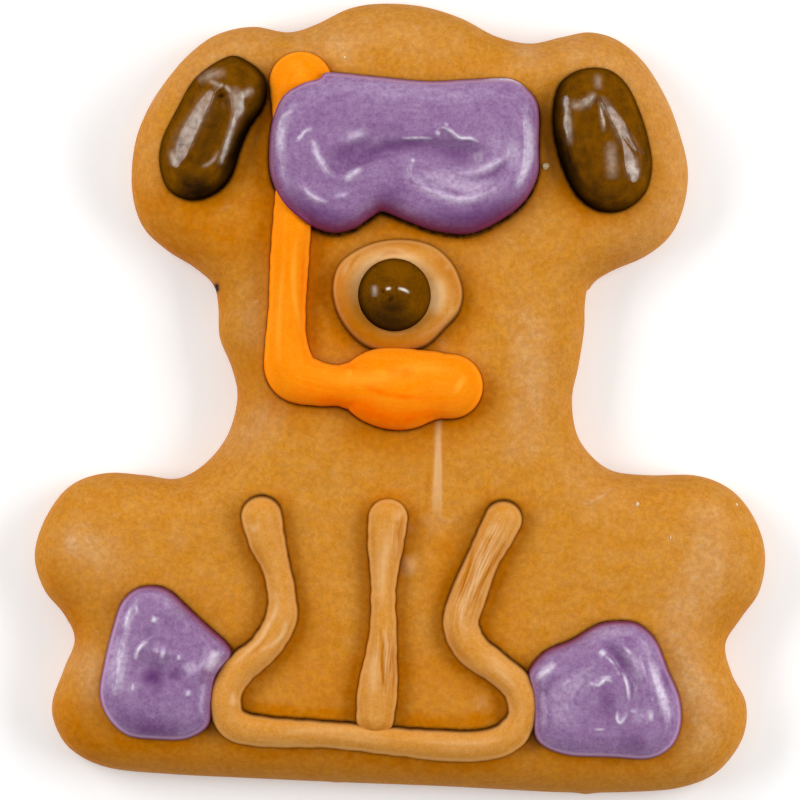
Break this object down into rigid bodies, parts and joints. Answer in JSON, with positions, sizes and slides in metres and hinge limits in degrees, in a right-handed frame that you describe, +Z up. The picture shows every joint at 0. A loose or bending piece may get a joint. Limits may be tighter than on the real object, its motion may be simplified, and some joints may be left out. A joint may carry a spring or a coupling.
{
  "type": "dog biscuit",
  "caption": "Flat iced dog biscuit in the shape of a sitting puppy, with raised icing for its ears, nose, front legs, dive mask, snorkel and flippers.",
  "frame": {"origin": "centre of the bounding box's bottom, on the flat back that the biscuit lies on", "axes": "+Z up out of the iced face, +Y towards the puppy's head, +X towards the viewer's right"},
  "size_m": [0.0916, 0.0994, 0.0135],
  "materials": {
    "coating": "satin caramel-coloured coating",
    "brown_icing": "glossy set icing",
    "purple_icing": "glossy set icing",
    "orange_icing": "satin set icing",
    "tan_icing": "satin set icing"
  },
  "bodies": {
    "root": {"biscuit": "coating", "ear_left": "brown_icing", "ear_right": "brown_icing", "nose": "brown_icing", "mask": "purple_icing", "flipper_left": "purple_icing", "flipper_right": "purple_icing", "snorkel": "orange_icing", "muzzle": "tan_icing", "leg_piping": "tan_icing", "leg_divider": "tan_icing"}
  },
  "joints": []
}
